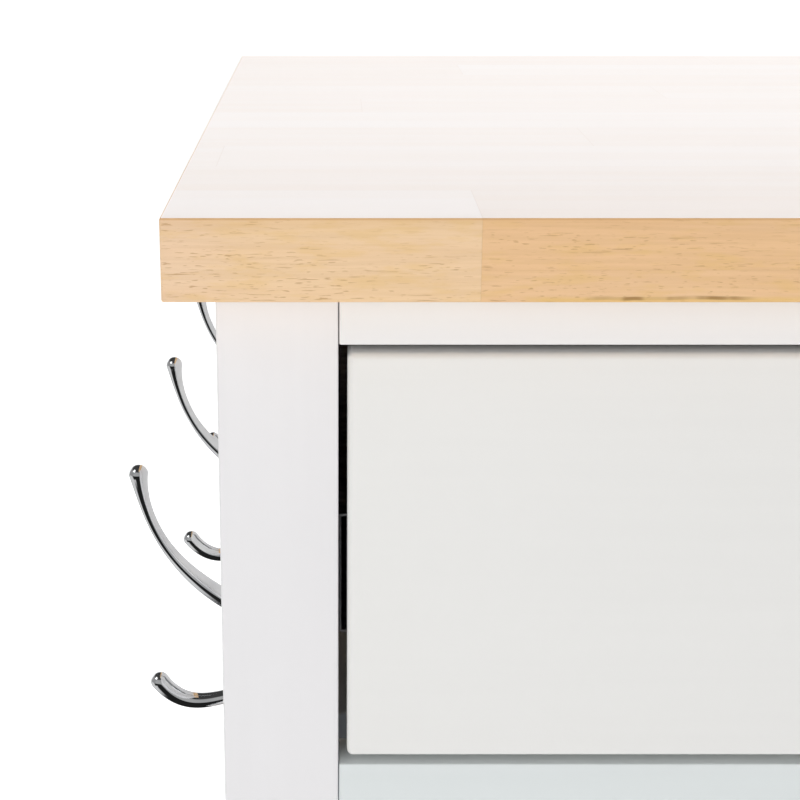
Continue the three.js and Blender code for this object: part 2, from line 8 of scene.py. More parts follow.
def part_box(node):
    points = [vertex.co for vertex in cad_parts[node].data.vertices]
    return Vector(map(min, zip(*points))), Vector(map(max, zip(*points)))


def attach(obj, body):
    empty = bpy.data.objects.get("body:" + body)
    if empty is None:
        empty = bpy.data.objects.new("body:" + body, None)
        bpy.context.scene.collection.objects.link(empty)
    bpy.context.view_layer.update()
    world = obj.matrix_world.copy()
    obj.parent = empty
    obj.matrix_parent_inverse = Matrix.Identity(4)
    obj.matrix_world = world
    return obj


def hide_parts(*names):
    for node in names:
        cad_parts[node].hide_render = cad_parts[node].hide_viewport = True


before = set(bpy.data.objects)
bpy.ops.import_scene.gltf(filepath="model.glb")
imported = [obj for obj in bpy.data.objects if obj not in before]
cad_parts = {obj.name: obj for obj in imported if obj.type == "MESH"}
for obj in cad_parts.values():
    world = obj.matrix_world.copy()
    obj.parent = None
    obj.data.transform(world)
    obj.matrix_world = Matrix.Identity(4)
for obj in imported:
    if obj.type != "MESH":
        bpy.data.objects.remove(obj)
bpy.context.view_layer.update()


# ---------------------------------------------------------------- four posts
# Square hardwood posts, planed to 40 mm with the arrises just broken, then
# sprayed with satin white. Each lower end is bored for a caster's stem.

POST_ARRIS = 0.0009
SHARP_ANGLE = math.radians(40)
PAINT_WHITE = (0.815, 0.805, 0.800)
UPRIGHT_WHITE = (0.824, 0.815, 0.826)
PAINT_IOR = 1.48
PAINT_RELIEF = 0.00004
CLOUDS = (5.0, 5.0, 5.0)
ORANGE_PEEL = (700.0, 700.0, 700.0)
GRAIN_ALONG_X = (6.0, 160.0, 160.0)
GRAIN_ALONG_Y = (160.0, 6.0, 160.0)
GRAIN_ALONG_Z = (160.0, 160.0, 6.0)


def add_node(tree, kind, inputs=None, **settings):
    """A shader node. An input is given by name or number, as a value or as another node's output."""
    made = tree.nodes.new(kind)
    for name, value in settings.items():
        setattr(made, name, value)
    for name, value in (inputs or {}).items():
        if isinstance(value, bpy.types.NodeSocket):
            tree.links.new(value, made.inputs[name])
        else:
            made.inputs[name].default_value = value
    return made


def calculate(tree, operation, first, second=0.0, third=0.0):
    """One step of arithmetic on shader values."""
    made = add_node(tree, "ShaderNodeMath", {0: first, 1: second, 2: third}, operation=operation)
    return made.outputs[0]


def stretched_noise(tree, scale, detail=2.0, roughness=0.5):
    """Noise in the piece's own space, with a scale of its own along each axis, in cycles a metre."""
    place = add_node(tree, "ShaderNodeTexCoord").outputs["Object"]
    mapping = add_node(tree, "ShaderNodeMapping", {"Vector": place, "Scale": scale})
    noise = add_node(
        tree,
        "ShaderNodeTexNoise",
        {"Vector": mapping.outputs[0], "Scale": 1.0, "Detail": detail, "Roughness": roughness},
    )
    return noise.outputs["Fac"]


def spread(tree, value, low, high, new_low=0.0, new_high=1.0):
    """Stretches the part of a value between low and high over a new range, with soft ends."""
    made = add_node(
        tree,
        "ShaderNodeMapRange",
        {
            "Value": value,
            "From Min": low,
            "From Max": high,
            "To Min": new_low,
            "To Max": new_high,
        },
        interpolation_type="SMOOTHSTEP",
    )
    return made.outputs["Result"]


def mix_colours(tree, share, first, second):
    """Two colours mixed by a share from 0 to 1."""
    made = add_node(tree, "ShaderNodeMix", data_type="RGBA", blend_type="MIX")
    colour_inputs = [socket for socket in made.inputs if socket.type == "RGBA"]
    for socket, value in ((made.inputs[0], share), (colour_inputs[0], first), (colour_inputs[1], second)):
        if isinstance(value, bpy.types.NodeSocket):
            tree.links.new(value, socket)
        else:
            socket.default_value = value if isinstance(value, float) else (*value, 1.0)
    return next(socket for socket in made.outputs if socket.type == "RGBA")


def new_finish(name):
    """An empty material with its main shader: returns the material, its tree and the shader."""
    material = bpy.data.materials.new(name)
    material.use_nodes = True
    tree = material.node_tree
    return material, tree, tree.nodes["Principled BSDF"]


def raise_surface(tree, shader, height, depth):
    """Turns a height from 0 to 1 into relief that is depth metres deep."""
    bump = add_node(tree, "ShaderNodeBump", {"Height": height, "Strength": 1.0, "Distance": depth})
    tree.links.new(bump.outputs[0], shader.inputs["Normal"])


def satin_paint(name, colour, grain):
    """Sprayed satin paint over wood. grain is the scale of the wood's faint figure along each axis."""
    material, tree, shader = new_finish(name)
    cloudy = stretched_noise(tree, CLOUDS, detail=3.0)
    figure = stretched_noise(tree, grain, detail=3.0)
    peel = stretched_noise(tree, ORANGE_PEEL, detail=1.0)
    tone = calculate(tree, "MULTIPLY_ADD", cloudy, 0.6, calculate(tree, "MULTIPLY", figure, 0.4))
    lighter = tuple(min(1.0, channel * 1.005) for channel in colour)
    darker = tuple(channel * 0.990 for channel in colour)
    paint = mix_colours(tree, spread(tree, tone, 0.35, 0.65), darker, lighter)
    tree.links.new(paint, shader.inputs["Base Color"])
    gloss = spread(tree, peel, 0.3, 0.7, 0.36, 0.46)
    tree.links.new(gloss, shader.inputs["Roughness"])
    shader.inputs["IOR"].default_value = PAINT_IOR
    height = calculate(tree, "MULTIPLY_ADD", figure, 0.3, calculate(tree, "MULTIPLY", peel, 0.7))
    raise_surface(tree, shader, height, PAINT_RELIEF)
    return material


def keep_mesh(name, shape, material):
    """Makes an object of a finished bmesh, with soft shading across its rounded edges."""
    mesh = bpy.data.meshes.new(name)
    bmesh.ops.recalc_face_normals(shape, faces=shape.faces)
    shape.to_mesh(mesh)
    shape.free()
    for polygon in mesh.polygons:
        polygon.use_smooth = True
    mesh.set_sharp_from_angle(angle=SHARP_ANGLE)
    mesh.materials.append(material)
    piece = bpy.data.objects.new(name, mesh)
    bpy.context.scene.collection.objects.link(piece)
    return piece


def board_shape(low, high, arris, steps=3):
    """A board between two corners, with every arris rounded to the same radius."""
    shape = bmesh.new()
    low, high = Vector(low), Vector(high)
    place = Matrix.Translation((low + high) / 2) @ Matrix.Diagonal((*(high - low), 1.0))
    bmesh.ops.create_cube(shape, size=1.0, matrix=place)
    bmesh.ops.bevel(
        shape,
        geom=list(shape.edges),
        offset=arris,
        offset_type="OFFSET",
        segments=steps,
        profile=0.5,
        affect="EDGES",
        clamp_overlap=True,
    )
    return shape


def stands_for(piece, body, material_slot, *nodes):
    """The piece rides on a body and stands for the CAD nodes named, which are hidden. material_slot is not
    used.
    """
    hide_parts(*nodes)
    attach(piece, body)


def painted_board(name, node, arris, paint, end_gap=0.0):
    """A painted board that fills its CAD node's box, or stops short of it at both ends in X."""
    low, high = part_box(node)
    low.x += end_gap
    high.x -= end_gap
    piece = keep_mesh(name, board_shape(low, high, arris), paint)
    stands_for(piece, "frame", "white_paint", node)


upright_paint = satin_paint("satin_white_upright", UPRIGHT_WHITE, GRAIN_ALONG_Z)
for end in ("front", "back"):
    for side in ("left", "right"):
        painted_board(f"painted_post_{end}_{side}", f"post_{end}_{side}", POST_ARRIS, upright_paint)


# -------------------------------------------------- front rails and panels
# The two front rails are doweled between the posts and sit flush with their
# faces. The side and back panels are thinner boards, set 10 mm inside the
# posts. All of them are sprayed with the posts. The lower rail's white is
# darker and cooler than the rest: painted shade, with the cool light bounced
# up from the floor.

RAIL_ARRIS = 0.0005
RAIL_END_GAP = 0.0003
PANEL_ARRIS = 0.0006
# Painted shade: darker and cooler than the other whites, for the lower rail's shade and the floor's cool
# bounce.
LOWER_RAIL_PAINTED_SHADE_WHITE = (0.735, 0.775, 0.775)

lengthwise_paint = satin_paint("satin_white_lengthwise", PAINT_WHITE, GRAIN_ALONG_X)
# The lower rail's finish carries painted shade: a darker, cooler white.
lower_rail_painted_shade = satin_paint("satin_white_lower_rail_painted_shade", LOWER_RAIL_PAINTED_SHADE_WHITE, GRAIN_ALONG_X)
crosswise_paint = satin_paint("satin_white_crosswise", PAINT_WHITE, GRAIN_ALONG_Y)
painted_board("painted_top_rail", "top_rail", RAIL_ARRIS, lengthwise_paint, RAIL_END_GAP)
painted_board("painted_lower_rail", "lower_rail", RAIL_ARRIS, lower_rail_painted_shade, RAIL_END_GAP)
painted_board("painted_back_panel", "back_panel", PANEL_ARRIS, lengthwise_paint)
for side in ("left", "right"):
    painted_board(f"painted_side_panel_{side}", f"side_panel_{side}", PANEL_ARRIS, crosswise_paint)


# --------------------------------------------------------- runners and slides
# A wooden runner, rebated to an L, lies behind each side panel and stands in
# under the drawer. Its dark bluish grey is painted shade: it stands for the dim
# light deep in the drawer's gap. The slides are three nested channels of
# zinc-plated steel, rolled from strip: the outer one is screwed to the runner,
# the inner to the drawer.

RUNNER_ARRIS = 0.0008
# Painted shade: a dark bluish grey for the dim light in the drawer's gap.
RUNNER_GREY_PAINTED_SHADE = (0.33, 0.37, 0.42)
ZINC_BRIGHT = (0.72, 0.73, 0.74)
ZINC_DULL = (0.55, 0.56, 0.58)
SLIDE_ROLL = 0.0004
SLIDE_WALL = 0.0012
SLIDE_WEB_IS_NEAR = {"outer": True, "middle": True, "inner": False}
SLIDE_BODIES = {"outer": "frame", "middle": "slide_middle_{}_body", "inner": "drawer"}


def zinc_plate(name):
    """Bright zinc plate on steel: soft blotches, fine drawing lines and a few dull patches."""
    material, tree, shader = new_finish(name)
    blotches = stretched_noise(tree, (140.0, 140.0, 140.0), detail=4.0, roughness=0.65)
    lines = stretched_noise(tree, (2200.0, 60.0, 2200.0), detail=2.0)
    colour = mix_colours(tree, spread(tree, blotches, 0.35, 0.65), ZINC_DULL, ZINC_BRIGHT)
    tree.links.new(colour, shader.inputs["Base Color"])
    shader.inputs["Metallic"].default_value = 1.0
    dull = calculate(tree, "MULTIPLY_ADD", blotches, 0.2, calculate(tree, "MULTIPLY", lines, 0.12))
    tree.links.new(calculate(tree, "ADD", dull, 0.16), shader.inputs["Roughness"])
    raise_surface(tree, shader, lines, 0.00002)
    return material


def channel_outline(near, far, half_height, wall, web_is_near):
    """A C-shaped section, as distances across the gap and heights, from one lip round to the other."""
    web_outer, tip = (near, far) if web_is_near else (far, near)
    step = wall if web_is_near else -wall
    lip = half_height - wall
    return [
        (web_outer, -half_height),
        (tip, -half_height),
        (tip, -lip),
        (web_outer + step, -lip),
        (web_outer + step, lip),
        (tip, lip),
        (tip, half_height),
        (web_outer, half_height),
    ]


def prism_shape(outline, depth, arris=0.0, steps=2):
    """A flat outline, a list of points, pushed along a direction. Its long edges may be rounded."""
    shape = bmesh.new()
    corners = [shape.verts.new(Vector(point)) for point in outline]
    face = shape.faces.new(corners)
    pushed = bmesh.ops.extrude_face_region(shape, geom=[face])
    moved = [item for item in pushed["geom"] if isinstance(item, bmesh.types.BMVert)]
    bmesh.ops.translate(shape, verts=moved, vec=Vector(depth))
    bmesh.ops.recalc_face_normals(shape, faces=shape.faces)
    if arris:
        sharp = [edge for edge in shape.edges if edge.calc_face_angle(0.0) > math.radians(35)]
        bmesh.ops.bevel(
            shape, geom=sharp, offset=arris, segments=steps, profile=0.5, affect="EDGES", clamp_overlap=True
        )
    return shape


zinc = zinc_plate("zinc_plate")
# The runners' grey is painted shade, for the dim light in the drawer's gap.
runner_painted_shade = satin_paint("grey_runner_painted_shade", RUNNER_GREY_PAINTED_SHADE, GRAIN_ALONG_Y)
for side, outward in (("left", -1), ("right", 1)):
    low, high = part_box(f"runner_{side}")
    panel_x, foot_x = (high.x, low.x) if outward > 0 else (low.x, high.x)
    post_low, post_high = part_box(f"post_front_{side}")
    upright_x = post_low.x if outward > 0 else post_high.x
    foot_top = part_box("lower_rail")[1].z
    outline = [
        (panel_x, low.y, low.z),
        (panel_x, low.y, high.z),
        (upright_x, low.y, high.z),
        (upright_x, low.y, foot_top),
        (foot_x, low.y, foot_top),
        (foot_x, low.y, low.z),
    ]
    shape = prism_shape(outline, (0, high.y - low.y, 0), RUNNER_ARRIS)
    runner = keep_mesh(f"painted_runner_{side}", shape, runner_painted_shade)
    stands_for(runner, "frame", "white_paint", f"runner_{side}")
    for member, web_is_near in SLIDE_WEB_IS_NEAR.items():
        node = f"slide_{member}_{side}"
        low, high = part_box(node)
        middle_z = (low.z + high.z) / 2
        near_x, far_x = (high.x, low.x) if outward > 0 else (low.x, high.x)
        section = channel_outline(0.0, abs(far_x - near_x), (high.z - low.z) / 2, SLIDE_WALL, web_is_near)
        outline = [(near_x - outward * across, low.y, middle_z + up) for across, up in section]
        shape = prism_shape(outline, (0, high.y - low.y, 0), SLIDE_ROLL)
        channel = keep_mesh(f"zinc_slide_{member}_{side}", shape, zinc)
        stands_for(channel, SLIDE_BODIES[member].format(side), "zinc_steel", node)


# ---------------------------------------------------------------- drawer box
# Four pale wooden boards, glued and pinned at the corners, round a thin bottom
# board. The two sides run the box's whole length and carry the slides.

BOX_ARRIS = 0.0010
BOTTOM_ARRIS = 0.0003
PALE_WOOD = (0.76, 0.60, 0.40)
PALE_WOOD_DARK = (0.62, 0.45, 0.27)


def pale_wood(name, grain_axis):
    """Bare pale wood, smoothed with sandpaper, with its grain along one axis: 0, 1 or 2 for X, Y or Z."""
    material, tree, shader = new_finish(name)
    bands = [95.0, 95.0, 95.0]
    bands[grain_axis] = 3.0
    fibres = [900.0, 900.0, 900.0]
    fibres[grain_axis] = 45.0
    broad = stretched_noise(tree, bands, detail=4.0, roughness=0.6)
    fine = stretched_noise(tree, fibres, detail=2.0)
    tone = calculate(tree, "MULTIPLY_ADD", broad, 0.75, calculate(tree, "MULTIPLY", fine, 0.25))
    colour = mix_colours(tree, spread(tree, tone, 0.32, 0.68), PALE_WOOD_DARK, PALE_WOOD)
    tree.links.new(colour, shader.inputs["Base Color"])
    tree.links.new(spread(tree, fine, 0.3, 0.7, 0.55, 0.72), shader.inputs["Roughness"])
    raise_surface(tree, shader, fine, 0.00008)
    return material


box_wood_across = pale_wood("pale_wood_along_x", 0)
box_wood_deep = pale_wood("pale_wood_along_y", 1)
for node in ("drawer_box_front", "drawer_box_back", "drawer_bottom"):
    low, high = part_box(node)
    arris = BOTTOM_ARRIS if node == "drawer_bottom" else BOX_ARRIS
    board = keep_mesh(f"pale_{node}", board_shape(low, high, arris), box_wood_across)
    stands_for(board, "drawer", "inner_wood", node)
for side in ("left", "right"):
    low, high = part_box(f"drawer_side_{side}")
    board = keep_mesh(f"pale_drawer_side_{side}", board_shape(low, high, BOX_ARRIS), box_wood_deep)
    stands_for(board, "drawer", "inner_wood", f"drawer_side_{side}")


# ------------------------------------------------------------- drawer front
# A single painted board, inset in its opening with an even gap all round. Its
# edges and corners are sanded rounder than the frame's before it is sprayed.

FRONT_ARRIS = 0.0022
FRONT_STEPS = 6
FRONT_WHITE = (0.805, 0.800, 0.782)

front_paint = satin_paint("satin_white_drawer_front", FRONT_WHITE, GRAIN_ALONG_X)
low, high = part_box("drawer_front")
front_shape = board_shape(low, high, FRONT_ARRIS, FRONT_STEPS)
drawer_front = keep_mesh("painted_drawer_front", front_shape, front_paint)
stands_for(drawer_front, "drawer", "white_paint", "drawer_front")


# --------------------------------------------------------------- drawer pull
# One round bar, bent at both ends and polished and chromed, on two turned feet.
# A screw from inside the drawer holds each foot.

PULL_CENTRES = 0.128
PULL_RADIUS = 0.005
PULL_BEND = 0.018
PULL_START = 0.0005
PULL_STRAIGHT = 0.004
PULL_FOOT_RADIUS = 0.0085
PULL_FOOT_THICKNESS = 0.003
PULL_FOOT_ROUNDING = 0.001
PULL_FOOT_BORE = PULL_RADIUS * 0.8
PULL_SCREW_SHANK = 0.0019
PULL_SCREW_RADIUS = 0.0040
PULL_SCREW_HEIGHT = 0.0024
PULL_SCREW_ROUNDING = 0.0010
PULL_SCREW_CROSS = 0.0022
SCREW_BEDDING = 0.0005
SCREW_CROWN = 0.0001
RECESS_DEPTH = 0.0009
RECESS_WIDTH = 0.22
CHROME_BRIGHT = (0.86, 0.87, 0.88)
CHROME_SHADE = (0.74, 0.75, 0.77)


def chrome_plate(name):
    """Polished chrome plate: mirror bright, with faint buffing marks and a trace of haze."""
    material, tree, shader = new_finish(name)
    haze = stretched_noise(tree, (90.0, 90.0, 90.0), detail=3.0)
    buffing = stretched_noise(tree, (1500.0, 1500.0, 260.0), detail=2.0)
    colour = mix_colours(tree, spread(tree, haze, 0.3, 0.7), CHROME_SHADE, CHROME_BRIGHT)
    tree.links.new(colour, shader.inputs["Base Color"])
    shader.inputs["Metallic"].default_value = 1.0
    gloss = calculate(tree, "MULTIPLY_ADD", haze, 0.05, calculate(tree, "MULTIPLY", buffing, 0.03))
    tree.links.new(calculate(tree, "ADD", gloss, 0.015), shader.inputs["Roughness"])
    raise_surface(tree, shader, buffing, 0.000004)
    return material


def tube_shape(line, radii, across, sides=32):
    """A round bar along a list of points in a plane, with a radius at each point. across is square
    to the plane. Both ends close in a point, so the radii at the ends are zero."""
    shape = bmesh.new()
    across = Vector(across).normalized()
    rings = []
    for i, (point, radius) in enumerate(zip(line, radii)):
        before = line[max(i - 1, 0)]
        after = line[min(i + 1, len(line) - 1)]
        tangent = (after - before).normalized()
        outward = tangent.cross(across).normalized()
        if radius == 0.0:
            rings.append([shape.verts.new(point)])
            continue
        ring = []
        for k in range(sides):
            turn = 2 * math.pi * k / sides
            spoke = math.cos(turn) * outward + math.sin(turn) * across
            ring.append(shape.verts.new(point + radius * spoke))
        rings.append(ring)
    for first, second in zip(rings, rings[1:]):
        for k in range(sides):
            following = (k + 1) % sides
            if len(first) == 1:
                shape.faces.new((first[0], second[k], second[following]))
            elif len(second) == 1:
                shape.faces.new((first[k], second[0], first[following]))
            else:
                shape.faces.new((first[k], second[k], second[following], first[following]))
    return shape


def turned_shape(profile, place, sides=48):
    """A turned piece: a profile of (radius, height) pairs, spun about Z and put in place. It starts and
    ends on the axis, or is a closed ring when its first and last points are the same."""
    shape = bmesh.new()
    is_ring = profile[0] == profile[-1]
    points = profile[:-1] if is_ring else profile
    rows = []
    for radius, height in points:
        if radius == 0.0:
            rows.append([shape.verts.new((0.0, 0.0, height))])
            continue
        row = []
        for k in range(sides):
            turn = 2 * math.pi * k / sides
            row.append(shape.verts.new((radius * math.cos(turn), radius * math.sin(turn), height)))
        rows.append(row)
    pairs = list(zip(rows, rows[1:]))
    if is_ring:
        pairs.append((rows[-1], rows[0]))
    for first, second in pairs:
        for k in range(sides):
            following = (k + 1) % sides
            if len(first) == 1:
                shape.faces.new((first[0], second[following], second[k]))
            elif len(second) == 1:
                shape.faces.new((first[k], first[following], second[0]))
            else:
                shape.faces.new((first[k], first[following], second[following], second[k]))
    bmesh.ops.transform(shape, matrix=place, verts=shape.verts)
    return shape


def rounded_corner(centre, radius, start, end, steps=6):
    """Points on an arc, from one angle to another, in degrees."""
    angles = [math.radians(start + (end - start) * i / steps) for i in range(steps + 1)]
    return [(centre[0] + radius * math.cos(a), centre[1] + radius * math.sin(a)) for a in angles]


def combine(name, material, base, *others, operation="UNION"):
    """One piece from several bmeshes, joined to or cut from the first."""
    whole = keep_mesh(name, base, material)
    for other in others:
        tool = keep_mesh(name + "_tool", other, material)
        step = whole.modifiers.new("combine", "BOOLEAN")
        step.operation = operation
        step.solver = "EXACT"
        step.object = tool
        bpy.context.view_layer.update()
        result = bpy.data.meshes.new_from_object(whole.evaluated_get(bpy.context.evaluated_depsgraph_get()))
        whole.modifiers.clear()
        whole.data = result
        bpy.data.objects.remove(tool)
    for polygon in whole.data.polygons:
        polygon.use_smooth = True
    whole.data.set_sharp_from_angle(angle=SHARP_ANGLE)
    return whole


def pull_line(middle, face_y, bar_y):
    """The pull's centre line: out of one foot, round a bend, along the front, and back."""
    half = PULL_CENTRES / 2
    bend = rounded_corner((-half + PULL_BEND, bar_y + PULL_BEND), PULL_BEND, 180, 270, 12)
    left = [(-half, face_y - PULL_START), (-half, face_y - PULL_STRAIGHT), *bend]
    right = [(-x, y) for x, y in reversed(left)]
    return [Vector((middle.x + x, y, middle.z)) for x, y in left + right]


chrome = chrome_plate("chrome_plate")
low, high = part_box("drawer_pull")
pull_middle = (low + high) / 2
line = pull_line(pull_middle, high.y, low.y + PULL_RADIUS)
line = [line[0], *line, line[-1]]
radii = [0.0, *[PULL_RADIUS] * (len(line) - 2), 0.0]
foot_rounding_centre = (PULL_FOOT_RADIUS - PULL_FOOT_ROUNDING, PULL_FOOT_THICKNESS - PULL_FOOT_ROUNDING)
feet = []
for hand in (-1, 1):
    foot = [
        (0.0, 0.0),
        (PULL_FOOT_RADIUS, 0.0),
        *rounded_corner(foot_rounding_centre, PULL_FOOT_ROUNDING, 0, 90),
        (PULL_FOOT_BORE, PULL_FOOT_THICKNESS),
        (0.0, PULL_FOOT_THICKNESS),
    ]
    place = Matrix.Translation((pull_middle.x + hand * PULL_CENTRES / 2, high.y, pull_middle.z))
    feet.append(turned_shape(foot, place @ Matrix.Rotation(math.radians(90), 4, "X")))
pull = combine("chrome_drawer_pull", chrome, tube_shape(line, radii, (0, 0, 1)), *feet)
stands_for(pull, "drawer", "chrome", "drawer_pull")


def cross_recess(place, face, size, turn):
    """The two crossed arms that are cut into a screw's head."""
    arms = []
    for quarter in (0, 90):
        low = (-size, -size * RECESS_WIDTH, face - RECESS_DEPTH)
        high = (size, size * RECESS_WIDTH, face + RECESS_DEPTH)
        arm = board_shape(low, high, size * 0.05, 1)
        spin = Matrix.Rotation(math.radians(turn + quarter), 4, "Z")
        bmesh.ops.transform(arm, matrix=place @ spin, verts=arm.verts)
        arms.append(arm)
    return arms


def add_screw(name, material, body, head, recess):
    """A screw's head, with its cross recess cut out of it, on a body."""
    screw = combine(name, material, head, *recess, operation="DIFFERENCE")
    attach(screw, body)


box_inside_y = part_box("drawer_box_front")[1].y
inwards = Matrix.Rotation(math.radians(-90), 4, "X")
pan_rounding_centre = (PULL_SCREW_RADIUS - PULL_SCREW_ROUNDING, PULL_SCREW_HEIGHT - PULL_SCREW_ROUNDING)
pan_head = [
    (0.0, -SCREW_BEDDING),
    (PULL_SCREW_SHANK, -SCREW_BEDDING),
    (PULL_SCREW_SHANK, 0.0),
    (PULL_SCREW_RADIUS, 0.0),
    *rounded_corner(pan_rounding_centre, PULL_SCREW_ROUNDING, 0, 90),
    (0.0, PULL_SCREW_HEIGHT + SCREW_CROWN),
]
for side, hand, turn in (("left", -1, 35), ("right", 1, 70)):
    foot_x = pull_middle.x + hand * PULL_CENTRES / 2
    place = Matrix.Translation((foot_x, box_inside_y, pull_middle.z)) @ inwards
    recess = cross_recess(place, PULL_SCREW_HEIGHT, PULL_SCREW_CROSS, turn)
    head = turned_shape(pan_head, place, 32)
    add_screw(f"zinc_pull_screw_{side}", zinc, "drawer", head, recess)


# ------------------------------------------------------------------ worktop
# A slab glued up from staves of pale, fine-pored hardwood, all running
# lengthways and butted end to end, then smoothed with sandpaper, oiled and
# crisply edged. The front stave has a thin strip glued under it and a streak
# of darker heartwood. The top face is mixed towards near-white: a painted
# sheen that stands for the glare of light off the oiled top.

WORKTOP_ARRIS = 0.0007
STAVE_WIDTH = 0.0510
STAVE_LENGTH = 0.380
FIRST_JOINT = 0.101
ROW_STAGGER = 0.618
STRIP_BELOW = 0.0165
GLUE_LINE = 0.00015
FACE_MARGIN = 0.0001
OAT = (0.828, 0.594, 0.356)
HONEY = (0.796, 0.506, 0.272)
BLUSH = (0.825, 0.600, 0.405)
PORE = (0.40, 0.20, 0.07)
BURNISHED = (0.66, 0.38, 0.17)
HEART = (0.30, 0.16, 0.05)
AMBER = (0.74, 0.48, 0.15)
# Painted sheen: the top face is mixed towards this near-white, standing for the glare of light off the oiled
# top.
PAINTED_SHEEN_WHITE = (0.940, 0.903, 0.893)
PAINTED_SHEEN_SHARE = 0.95
PAINTED_SHEEN_LESS_BY_STAVE = -0.09
PAINTED_SHEEN_LESS_BY_BAND = -0.035
FRONT_TONE = 0.85
END_BLUSH_LENGTH = 0.050
HEART_HEIGHT = -0.0260
HEART_WAVE = 0.0010
HEART_STARTS = (0.132, 0.142)
HEART_ENDS = (0.178, 0.190)
AMBER_STARTS = (0.112, 0.124)
AMBER_ENDS = (0.190, 0.215)
AMBER_HEIGHTS = (-0.0246, -0.0262)
FRONT_FACE_DEPTH = 0.004
OIL_GLOSS = 0.28
OIL_SPECULAR = 0.20
WOOD_RELIEF = 0.00005


def blend_values(tree, share, first, second):
    """Goes from the first value to the second as the share goes from 0 to 1."""
    made = add_node(tree, "ShaderNodeMix", {0: share, 2: first, 3: second}, data_type="FLOAT")
    return made.outputs[0]


def stave_wood(name, corner):
    """Oiled staves. corner is the worktop's front left top corner, and everything is measured from it."""
    material, tree, shader = new_finish(name)
    place = add_node(tree, "ShaderNodeTexCoord").outputs["Object"]
    from_corner = add_node(
        tree, "ShaderNodeVectorMath", {0: place, 1: tuple(corner)}, operation="SUBTRACT"
    ).outputs[0]
    along, back, up = add_node(tree, "ShaderNodeSeparateXYZ", {0: from_corner}).outputs

    into_stave = calculate(tree, "ADD", back, FACE_MARGIN)
    row = calculate(tree, "FLOOR", calculate(tree, "DIVIDE", into_stave, STAVE_WIDTH))
    row_share = calculate(tree, "FRACT", calculate(tree, "DIVIDE", back, STAVE_WIDTH))
    shift = calculate(tree, "FRACT", calculate(tree, "MULTIPLY", row, ROW_STAGGER))
    run = calculate(tree, "DIVIDE", calculate(tree, "SUBTRACT", along, FIRST_JOINT), STAVE_LENGTH)
    run = calculate(tree, "ADD", run, shift)
    column = calculate(tree, "FLOOR", run)
    run_share = calculate(tree, "SUBTRACT", run, column)

    is_front_row = calculate(tree, "COMPARE", row, 0.0, 0.5)
    is_past_joint = calculate(tree, "GREATER_THAN", along, FIRST_JOINT)
    is_layered = calculate(tree, "MULTIPLY", is_front_row, is_past_joint)
    is_strip = calculate(
        tree, "MULTIPLY", is_layered, calculate(tree, "LESS_THAN", up, -STRIP_BELOW)
    )
    label = add_node(tree, "ShaderNodeCombineXYZ", {0: row, 1: column, 2: is_strip}).outputs[0]
    chance = add_node(tree, "ShaderNodeTexWhiteNoise", {"Vector": label}, noise_dimensions="3D")
    luck = chance.outputs["Value"]
    tone = blend_values(tree, is_front_row, luck, calculate(tree, "MULTIPLY", is_past_joint, FRONT_TONE))
    luck_vector = chance.outputs["Color"]

    own_shift = add_node(
        tree, "ShaderNodeVectorMath", {0: luck_vector, "Scale": 3.7}, operation="SCALE"
    ).outputs[0]
    own_place = add_node(
        tree, "ShaderNodeVectorMath", {0: from_corner, 1: own_shift}, operation="ADD"
    ).outputs[0]

    def figure(scale, detail, roughness=0.5, distortion=0.0):
        stretched = add_node(tree, "ShaderNodeMapping", {"Vector": own_place, "Scale": scale})
        noise = add_node(
            tree,
            "ShaderNodeTexNoise",
            {
                "Vector": stretched.outputs[0],
                "Scale": 1.0,
                "Detail": detail,
                "Roughness": roughness,
                "Distortion": distortion,
            },
        )
        return noise.outputs["Fac"]

    bands = figure((2.2, 70.0, 90.0), 3.0, 0.55, 0.6)
    fibres = figure((30.0, 900.0, 900.0), 2.0)
    clusters = figure((14.0, 60.0, 120.0), 2.0)
    pores = figure((270.0, 2300.0, 2300.0), 1.0)
    long_pores = figure((100.0, 1700.0, 1700.0), 1.0)
    mottle = figure((60.0, 240.0, 240.0), 3.0, 0.6)

    body = mix_colours(tree, tone, OAT, HONEY)
    blush = calculate(tree, "MULTIPLY", spread(tree, figure((5.0, 20.0, 40.0), 2.0), 0.42, 0.62), 0.4)
    near_end = spread(tree, along, 0.0, END_BLUSH_LENGTH, 1.0, 0.0)
    end_blush = calculate(tree, "MULTIPLY", near_end, is_front_row)
    blush = calculate(tree, "MAXIMUM", blush, end_blush)
    body = mix_colours(tree, blush, body, BLUSH)
    band_tone = spread(tree, bands, 0.3, 0.7, 0.0, 0.22)
    body = mix_colours(tree, band_tone, body, HONEY)
    fibre_tone = spread(tree, fibres, 0.35, 0.65, 0.0, 0.10)
    body = mix_colours(tree, fibre_tone, body, PORE)
    body = mix_colours(tree, spread(tree, mottle, 0.45, 0.70, 0.0, 0.30), body, AMBER)

    crowd = spread(tree, clusters, 0.38, 0.62, 0.25, 1.0)
    short_dash = calculate(tree, "MULTIPLY", spread(tree, pores, 0.63, 0.72), crowd)
    long_dash = calculate(tree, "MULTIPLY", spread(tree, long_pores, 0.68, 0.75), crowd)
    dash = calculate(tree, "MAXIMUM", short_dash, long_dash)
    body = mix_colours(tree, calculate(tree, "MULTIPLY", dash, 0.5), body, PORE)

    faces_up = add_node(tree, "ShaderNodeNewGeometry").outputs["Normal"]
    upward = add_node(tree, "ShaderNodeSeparateXYZ", {0: faces_up}).outputs[2]
    on_arris = spread(tree, upward, 0.05, 0.3)
    burnish = calculate(tree, "MULTIPLY", on_arris, spread(tree, upward, 0.97, 0.85))
    body = mix_colours(tree, calculate(tree, "MULTIPLY", burnish, 0.7), body, BURNISHED)
